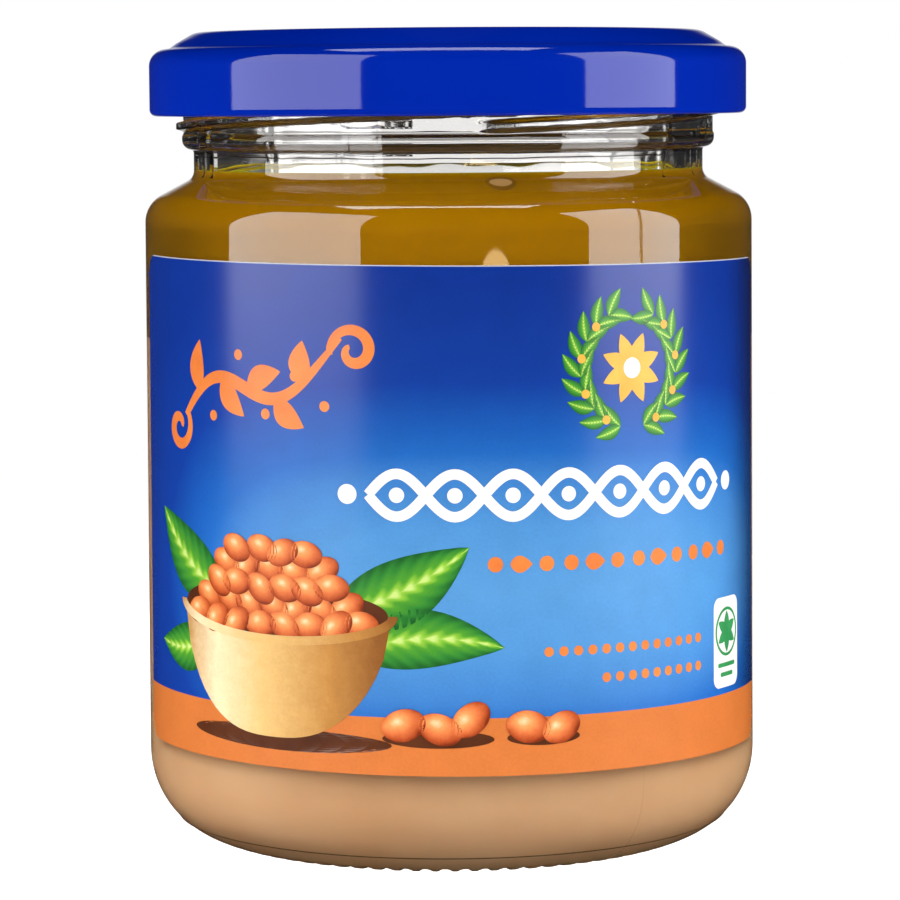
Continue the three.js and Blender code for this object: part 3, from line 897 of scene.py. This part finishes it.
def kernel_shade(add, own, place):
    """How far a point lies from the bright spot at its kernel's upper left."""
    grain = add("TexNoise", {"Vector": place, "Scale": 1 / KERNEL_GRAIN, "Detail": 3})
    spot = add("VectorMath", [own, KERNEL_LIT], operation="DISTANCE")
    return add("Math", [grain, 0.16, spot.outputs["Value"]], operation="MULTIPLY_ADD")


def leaf_shade(add, own, place):
    """How far a point lies from its leaf's midrib, with side veins."""
    across = add("SeparateXYZ", [own])
    off = add("Math", [across.outputs["Y"], 0.5], operation="SUBTRACT")
    away = add("Math", [off], operation="ABSOLUTE")
    slant = add("Math", [away, VEIN_SLANT, across], operation="MULTIPLY_ADD")
    wave = add("Math", [slant, 2 * math.pi * VEINS], operation="MULTIPLY")
    vein = add("Math", [wave], operation="SINE")
    return add("Math", [vein, VEIN_DEPTH, away], operation="MULTIPLY_ADD")


def bowl_shade(add, own, place):
    """How far a point lies from the bowl's lit left side, with the clay's grain."""
    grain = add("TexNoise", {"Vector": place, "Scale": 1 / BOWL_GRAIN, "Detail": 3})
    across = add("SeparateXYZ", [own])
    return add("Math", [grain, 0.1, across], operation="MULTIPLY_ADD")


def shaded_ink(name, shade, *stops):
    """An ink whose colour follows a shade across each patch."""
    material, add, shader, place = printed_sheet(name, INK_GLOSS)
    own = add("UVMap", uv_map="UVMap")
    varnish(add, shader, place, add("ValToRGB", [shade(add, own, place)], stops))
    return material


WHITE_INK = flat_ink("opaque_white_ink", "#eceae6", "#f2f1ee")
ORANGE_INK = flat_ink("warm_orange_ink", "#e07838", "#ea8640")
YELLOW_INK = flat_ink("corn_yellow_ink", "#eda93a", "#f3b84a")
GREEN_INK = flat_ink("laurel_green_ink", "#2f8a4e", "#3c9a58")
BROWN_INK = flat_ink("shadow_brown_ink", "#4a2412", "#5c3018")
LEAF_INK = shaded_ink("leaf_green_ink", leaf_shade, (0.0, "#c3dc7a"), (0.05, "#8fc23c"),
                      (0.14, "#4f9a2c"), (0.34, "#2f7f2e"), (0.5, "#1c5a26"))
KERNEL_INK = shaded_ink("kernel_brown_ink", kernel_shade, (0.08, "#f8d2a2"), (0.24, "#ec9a58"),
                        (0.45, "#d9703a"), (0.66, "#b24a1e"), (0.8, "#7c2c10"))
BOWL_INK = shaded_ink("earthenware_tan_ink", bowl_shade, (0.05, "#b98546"), (0.26, "#f3dcb0"),
                      (0.5, "#e3b974"), (0.8, "#b9803c"), (1.0, "#8a5524"))
print("inks:", sum(1 for m in bpy.data.materials if m.name.endswith("_ink")))

# %% [markdown]
# ### Plait, beads, wreath and flourish
# The plait is two wavy ribbons that cross, with a dot in each loop; one ribbon lies a layer higher, so no
# two surfaces share a plane. The wreath is pairs of leaves round most of a circle, and the flourish an
# S-shaped ribbon that ends in spirals. Each could be a filled curve, but patches shade and bend more
# evenly.

# %% The plait and the bead row
PLAIT_X, PLAIT_Y, PLAIT_LOOP, PLAIT_LOOPS, PLAIT_R = -10.0, 31.0, 6.4, 7, 2.35
PLAIT_LONG = PLAIT_LOOP * PLAIT_LOOPS
PLAIT_RIBBON, PLAIT_EYE, PLAIT_DOT, PLAIT_DOT_GAP = 1.15, 0.85, 1.1, 2.4
BEAD_X, BEAD_Y, BEAD_PITCH, BEADS, BEAD_DOT = 4.0, 23.4, 2.9, 12, 0.85


def strand(side):
    """A path that waves along the plait, up or down first."""
    def path(t):
        return PLAIT_X + PLAIT_LONG * t, PLAIT_Y + side * PLAIT_R * np.sin(math.pi * PLAIT_LOOPS * t)
    return stroke(path, even(PLAIT_RIBBON), 140)


plait = [strand(1)]
for i in range(PLAIT_LOOPS):
    plait.append(disc(PLAIT_X + PLAIT_LOOP * (i + 0.5), PLAIT_Y, PLAIT_EYE))
for x in (PLAIT_X - PLAIT_DOT_GAP, PLAIT_X + PLAIT_LONG + PLAIT_DOT_GAP):
    plait.append(disc(x, PLAIT_Y, PLAIT_DOT))
printed("ink_plait", plait, 1, WHITE_INK)
printed("ink_plait_under", [strand(-1)], 2, WHITE_INK)

beads = []
for i in range(BEADS):
    middle = BEAD_X + i * BEAD_PITCH
    beads.append(leaf(middle - 1.25, BEAD_Y, 0, 2.5, 1.9) if i % 3 == 1 else disc(middle, BEAD_Y, BEAD_DOT))
printed("ink_beads", beads, 1, ORANGE_INK)
print("plait shapes:", len(plait) + 1, "beads:", len(beads))

# %% The wreath
WREATH_X, WREATH_Y, WREATH_R, WREATH_PAIRS = 20.5, 44.6, 6.6, 9
WREATH_GAP, WREATH_SWEEP, WREATH_LEAN, PETALS = 14, 138, 34, 8
wreath, berries = [], []
for mirror in (-1, 1):
    for i in range(WREATH_PAIRS):
        place = -90 + mirror * (WREATH_GAP + WREATH_SWEEP * i / (WREATH_PAIRS - 1))
        a = math.radians(place)
        x, y = WREATH_X + WREATH_R * math.cos(a), WREATH_Y + WREATH_R * math.sin(a)
        for lean in (-WREATH_LEAN, WREATH_LEAN):
            wreath.append(leaf(x, y, place + mirror * 90 + lean, 3.4, 1.6, 0.05))
        if i % 2 == 1:
            berries.append(disc(x, y, 0.5))
printed("ink_wreath", wreath, 1, LEAF_INK)
petals = [leaf(WREATH_X, WREATH_Y, (i + 0.5) * 360 / PETALS, 4.1, 1.9) for i in range(PETALS)]
printed("ink_rosette", petals + berries, 2, YELLOW_INK)
printed("ink_rosette_eye", [disc(WREATH_X, WREATH_Y, 1.15)], 3, WHITE_INK)
print("wreath leaves:", len(wreath), "berries:", len(berries))

# %% The flourish
FLOURISH_X, FLOURISH_Y, FLOURISH_LONG, FLOURISH_RISE, FLOURISH_SWAY = -36.0, 38.5, 23, 8, 2.6


def sway(t):
    """The flourish's stem: a rising S."""
    up = FLOURISH_RISE * t + FLOURISH_SWAY * np.sin(2.2 * math.pi * t)
    return FLOURISH_X + FLOURISH_LONG * t, FLOURISH_Y + up


flourish = [stroke(sway, taper(1.5, 0.4), 60)]
for t, side in ((0.12, 1), (0.3, -1), (0.47, 1), (0.64, -1), (0.8, 1)):
    x, y = sway(np.array([t, t + 0.01]))
    heading = math.degrees(math.atan2(y[1] - y[0], x[1] - x[0]))
    flourish.append(leaf(x[0], y[0], heading + side * 48, 6.0 - 1.8 * t, 2.7, 0.1 * side))
    flourish.append(disc(x[0] + 2.6, y[0] - side * 2.6, 0.6))
high_curl = spiral(FLOURISH_X + 24.4, FLOURISH_Y + 8.2, 2.8, 0.6, 190, -420)
low_curl = spiral(FLOURISH_X - 1.6, FLOURISH_Y - 1.4, 2.6, 0.6, 40, -400)
flourish += [stroke(curl, taper(1.3, 0.4), 50) for curl in (high_curl, low_curl)]
printed("ink_flourish", flourish, 1, ORANGE_INK)
print("flourish shapes:", len(flourish))

# %% [markdown]
# ### The bowl of kernels
# The bowl is one patch between two curves, its rim a ribbon on half an ellipse. The kernels are discs
# heaped in five rows that get shorter, each nudged and turned by a seeded draw, so that the heap looks
# tipped in and is the same at every run. Every second row lies an ink layer lower, which keeps touching
# discs apart.

# %% The bowl of kernels
BOWL_X, RIM_Y, BOWL_RX, BOWL_RY, BOWL_DEEP = -22.0, 17.6, 14.6, 3.2, 14.2
HEAP_ROWS, HEAP_FIRST, KERNEL_PITCH, ROW_RISE, HEAP_DIP = 5, 8, 3.2, 2.05, 1.6
KERNEL_RX, KERNEL_RY = 2.15, 1.5


def bowl_side(u, v):
    """The bowl's front, from the rim's near edge down to its round foot."""
    top = RIM_Y - BOWL_RY * np.sqrt(np.maximum(0, 1 - u * u))
    bottom = RIM_Y - BOWL_DEEP * np.maximum(0, 1 - np.abs(u) ** 2.6) ** 0.6
    return BOWL_X + BOWL_RX * u, bottom + (top - bottom) * (v + 1) / 2


def bowl_rim(t):
    """The rim's near edge, from left to right."""
    a = math.pi * t
    return BOWL_X - BOWL_RX * 1.01 * np.cos(a), RIM_Y - BOWL_RY * 1.02 * np.sin(a)


behind = [leaf(BOWL_X - 7, RIM_Y + 1, 146, 16, 7.0, 0.06), leaf(BOWL_X + 8, RIM_Y, 27, 17, 7.4, -0.06),
          leaf(BOWL_X + 10, RIM_Y - 4, 2, 17, 6.6, 0.08), leaf(BOWL_X - 9, RIM_Y - 4, 187, 12, 5.6, 0.08)]
printed("ink_leaves", behind, 1, LEAF_INK)
shade = [disc(BOWL_X, RIM_Y, BOWL_RX * 0.97, BOWL_RY * 0.95, 0, 16), disc(BOWL_X + 1, 3.3, 13.5, 1.3),
         disc(-2.4, 4.1, 6.2, 1.0), disc(9.4, 4.2, 4.2, 0.9)]
printed("ink_shade", shade, 2, BROWN_INK)
printed("ink_bowl", [(30, 12, bowl_side)], 3, BOWL_INK)
draw = np.random.default_rng(11)
heap_low, heap_high = [], []
for line in range(HEAP_ROWS):
    count = HEAP_FIRST - line
    for i in range(count):
        across = (i - (count - 1) / 2) * KERNEL_PITCH + draw.uniform(-0.35, 0.35)
        lift = RIM_Y - HEAP_DIP * math.sqrt(max(0, 1 - (across / BOWL_RX) ** 2)) + line * ROW_RISE
        kernel = disc(BOWL_X + across, lift + draw.uniform(-0.25, 0.25), KERNEL_RX, KERNEL_RY,
                      draw.uniform(-40, 40))
        (heap_low if line % 2 else heap_high).append(kernel)
loose = [disc(-6.2, 5.6, 2.5, 1.8, 15), disc(-2.2, 5.2, 2.5, 1.7, -20), disc(1.2, 6.3, 2.4, 1.7, 40),
         disc(7.6, 5.4, 2.5, 1.8, -10), disc(11.4, 5.2, 2.3, 1.7, 25)]
printed("ink_kernels_low", heap_low, 4, KERNEL_INK)
printed("ink_kernels_high", heap_high + loose, 5, KERNEL_INK)
printed("ink_rim", [stroke(bowl_rim, even(1.0), 40)], 6, BOWL_INK)
print("kernels:", len(heap_low) + len(heap_high) + len(loose))

# %% The medallion and the dotted lines
MEDAL_X, MEDAL_Y, MEDAL_RING, STAR_UP = 37.5, 12.4, 2.65, 1.2
DOTS_X, DOTS_Y, DOT_PITCH, DOT_R, DOT_ROW = 31.0, 13.6, 1.75, 0.55, 3.2
printed("ink_medal", [plate(MEDAL_X, MEDAL_Y, 6.4, 10.4, 1.2)], 1, WHITE_INK)
star = [leaf(MEDAL_X, MEDAL_Y + STAR_UP, 60 * i + 30, 2.4, 1.3) for i in range(6)]
ring = [stroke(spiral(MEDAL_X, MEDAL_Y + STAR_UP, MEDAL_RING, MEDAL_RING, 0, 360), even(0.35), 48)]
lines = [plate(MEDAL_X, MEDAL_Y - 2.6 - 1.1 * i, 4.4 - 1.2 * i, 0.5, 0.2) for i in range(2)]
printed("ink_medal_star", star + ring + lines, 2, GREEN_INK)
dots = [disc(DOTS_X - i * DOT_PITCH, DOTS_Y - row * DOT_ROW, DOT_R, DOT_R, 0, 6)
        for row, count in ((0, 13), (1, 9)) for i in range(count)]
printed("ink_dots", dots, 1, ORANGE_INK)

# %% [markdown]
# ## The table
# The jar stands on a pale table that fades into a white background. A plain white plane would show a grey
# rim and a grey shadow, so this one glows a little: the camera sees it white right up to the foot. The glow
# also lights the contents from below as painted bounce light, stopped under the jar by a painted shadow,
# and glass and gloss see the table in a painted dark shade. It is clear from below, so that the base can be
# looked at.

# %% The table
TABLE_R, TABLE_FADE, TABLE_GLOW, TABLE_BOUNCE, TABLE_LOW = 0.36, 0.25, 0.95, 1.0, 0.00002
PAINTED_SHADOW_UNDER_JAR, TABLE_GRAIN = (32 * MM, 38 * MM), 4 * MM


def pale_laminate():
    """Smooth pale satin laminate; its glow is painted bounce light, stopped by a painted shadow under the
    jar.
    """
    material, add, shader, place = new_material(
        "pale_table_laminate", Roughness=0.6, Specular_IOR_Level=0.2, Emission_Color=colour("#ffffff"))
    away = add("VectorMath", [place], operation="LENGTH").outputs["Value"]
    rim = add("MapRange", [away, TABLE_R - TABLE_FADE, TABLE_R, 1, 0], **SOFT_STEP)
    # Painted bounce light: the table glows for light that bounces off it, with a painted shadow under the
    # jar.
    beside = add("MapRange", [away, *PAINTED_SHADOW_UNDER_JAR, 0, TABLE_GLOW], **SOFT_STEP)
    ray = add("LightPath").outputs
    glow = add("Math", [beside, ray["Is Camera Ray"]], operation="MAXIMUM")
    tone = drifting_tone(add, place, TABLE_GRAIN, "#f4f4f4", "#f8f8f8")
    plug(shader, {"Base Color": tone, "Emission Strength": glow})
    lit_or_seen = add("Math", [ray["Diffuse Depth"], TABLE_BOUNCE, ray["Is Camera Ray"]],
                      operation="MULTIPLY_ADD", use_clamp=True)
    # Painted shade: glass and gloss see the table dark brown.
    painted_dark_shade = add("BsdfDiffuse", [colour("#2c2724")])
    top = add("MixShader", [lit_or_seen, painted_dark_shade, shader])
    below = add("NewGeometry").outputs["Backfacing"]
    above = add("Math", [1.0, below], operation="SUBTRACT")
    shown = add("Math", [rim, above], operation="MULTIPLY")
    clear = add("BsdfTransparent")
    plug(shader.id_data.nodes["Material Output"], [add("MixShader", [shown, clear, top])])
    return material


pick()
bpy.ops.mesh.primitive_circle_add(
    vertices=128, radius=TABLE_R, fill_type="NGON", location=(0, 0, -TABLE_LOW))
table = bpy.context.object
table.name = "pale_table"
table.data.materials.append(pale_laminate())
print("table is", 2 * TABLE_R, "m across")

# %% [markdown]
# ## The lights
# Product photographers light glass by what it reflects, so each light does one job. Two tall soft boxes,
# seen by glossy surfaces alone, draw the pale bars on the lid and the glass; softer lamps, which nothing
# reflects, light the contents and the print; a strip overhead draws the thin line along the shoulder. One
# small warm lamp leaves the pale spot above the label's edge, and light linking keeps it to the glass.

# %% The lights
WATTS_PER_RADIANCE = math.pi
BOX_DISTANCE, BOX_HEIGHT = 0.8, 1.0
# Soft boxes: the azimuths from which to which they reach, and their radiance.
SOFT_BOXES = {"left_soft_box": (-88, -32, 5.6), "right_soft_box": (52, 94, 6.0)}
# Lamps: azimuth, distance, height, the height that they aim at, width, height and radiance, in metres.
LAMPS = {
    "left_key": (-62, 0.9, 0.38, 0.04, 0.5, 0.5, 8.8),
    "right_key": (62, 0.9, 0.38, 0.04, 0.5, 0.5, 9.4),
    "front_fill": (0, 0.5, 1.0, 0.09, 0.7, 0.4, 1.6),
    "low_fill": (4, 0.7, 0.035, 0.015, 0.7, 0.06, 2.5),
}
SPOT_PLACE, SPOT_AIM, SPOT_WARMTH = (0.183, -0.607, 0.0385), (0.005, -0.035, 0.0385), (1.0, 0.72, 0.36)
STRIP_X, STRIP_UP = -0.04, 1.0


def soft_light(name, place, target, width, height, radiance, glossy):
    """A soft light that faces a target, for gloss or for the rest; its power follows from its radiance."""
    data = bpy.data.lights.new(name, "AREA")
    data.shape = "RECTANGLE"
    data.size = width
    data.size_y = height
    data.energy = radiance * WATTS_PER_RADIANCE * width * height
    light = bpy.data.objects.new(name, data)
    bpy.context.scene.collection.objects.link(light)
    light.location = place
    light.rotation_euler = (Vector(target) - Vector(place)).to_track_quat("-Z", "Y").to_euler()
    light.visible_camera = False
    light.visible_diffuse = not glossy
    light.visible_glossy = glossy
    light.visible_transmission = glossy
    return light


def at_azimuth(azimuth, distance, height):
    """A place round the jar, its azimuth in degrees from the front, positive to the right."""
    a = math.radians(azimuth)
    return (distance * math.sin(a), -distance * math.cos(a), height)


for name, (low, high, radiance) in SOFT_BOXES.items():
    place = at_azimuth((low + high) / 2, BOX_DISTANCE, BOX_HEIGHT / 2)
    width = 2 * BOX_DISTANCE * math.tan(math.radians((high - low) / 2))
    soft_light(name, place, (0, 0, place[2]), width, BOX_HEIGHT, radiance, True)
for name, (azimuth, distance, up, aim, width, height, radiance) in LAMPS.items():
    soft_light(name, at_azimuth(azimuth, distance, up), (0, 0, aim), width, height, radiance, False)
spot = soft_light("low_reflection", SPOT_PLACE, SPOT_AIM, 0.13, 0.022, 7.5, True)
spot.data.shape = "ELLIPSE"
spot.data.color = SPOT_WARMTH
bare_glass = bpy.data.collections.new("bare_glass")
bare_glass.objects.link(glass)
spot.light_linking.receiver_collection = bare_glass
soft_light("overhead_strip", (STRIP_X, 0, STRIP_UP), (STRIP_X, 0, 0), 0.7, 0.36, 8.0, True)

# %% [markdown]
# Clear glass on white gets its dark edges from what lies beside the background. So the world is bright only
# in a narrow sector straight behind the jar and low down, and nearly black elsewhere, as black flags at
# both sides would make it. The camera itself sees plain white all round.

# %% The background
SECTOR = (math.radians(5), math.radians(12), 1.0, 0.025)
LOW_SKY = (0.15, 0.4, 1.0, 0.02)
WHITE = colour("#ffffff")

world = bpy.data.worlds.new("studio")
bpy.context.scene.world = world
world.use_nodes = True
sky = world.node_tree
sky.nodes.clear()
add = partial(add_node, sky)
axes = add("SeparateXYZ", [add("TexCoord").outputs["Generated"]])
side = add("Math", [axes.outputs["X"], axes.outputs["Y"]], operation="ARCTAN2")
aside = add("Math", [side], operation="ABSOLUTE")
sector = add("MapRange", [aside, *SECTOR], **SOFT_STEP)
low = add("MapRange", [axes.outputs["Z"], *LOW_SKY])
level = add("Math", [sector, low], operation="MULTIPLY")
around = add("Background", [WHITE, level])
seen = add("Background", [WHITE, 1.0])
by_camera = add("LightPath").outputs["Is Camera Ray"]
either = add("MixShader", [by_camera, around, seen])
add("OutputWorld", [either])
print("background nodes:", len(sky.nodes))
